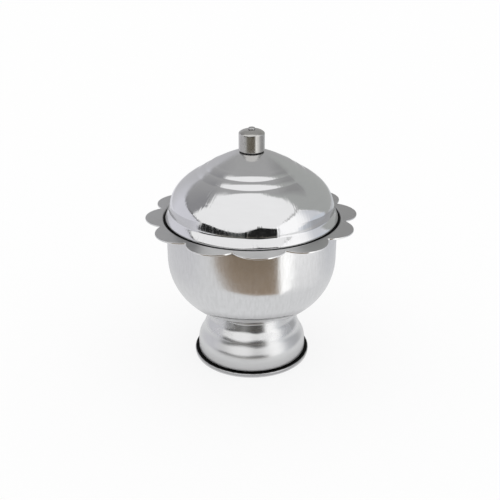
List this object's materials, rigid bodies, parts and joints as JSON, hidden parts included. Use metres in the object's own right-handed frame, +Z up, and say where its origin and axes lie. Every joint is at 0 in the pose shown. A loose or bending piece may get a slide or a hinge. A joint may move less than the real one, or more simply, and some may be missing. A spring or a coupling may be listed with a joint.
{
  "type": "kumkum box",
  "caption": "Small footed steel bowl with a scalloped petal collar and a domed lift-off lid with a riveted knob, for vermilion powder.",
  "frame": {"origin": "centre of the foot's underside, on the surface that the box stands on", "axes": "+Z up along the axis of bowl, lid and foot; -Y towards the front, through the tip of one petal"},
  "size_m": [0.065, 0.065, 0.0749],
  "materials": {
    "bowl_steel": "satin brushed round the bowl",
    "lid_steel": "mirror polished",
    "collar_steel": "flat rolled sheet, dull",
    "foot_steel": "polished",
    "ring_steel": "polished, dark polishing residue in the seam",
    "knob_steel": "turned",
    "rivet_steel": "plain",
    "washer_rubber": "matt black"
  },
  "bodies": {
    "base": {"foot_ring": "ring_steel", "foot_shell": "foot_steel", "foot_rivet_washer": "rivet_steel", "foot_rivet": "rivet_steel", "bowl": "bowl_steel", "petal_collar": "collar_steel"},
    "rivet": {"knob_rivet": "rivet_steel"},
    "lid": {"lid_shell": "lid_steel", "lid_rivet_washer": "rivet_steel", "knob_washer": "washer_rubber", "knob": "knob_steel"}
  },
  "joints": [
    {"name": "lid_lift", "type": "slide", "parent": "base", "child": "rivet", "axis": [0, 0, 1], "range_m": [0, 0.04]},
    {"name": "lid_turn", "type": "hinge", "parent": "rivet", "child": "lid", "pos_m": [0, 0, 0.0705], "axis": [0, 0, 1], "continuous": true}
  ]
}
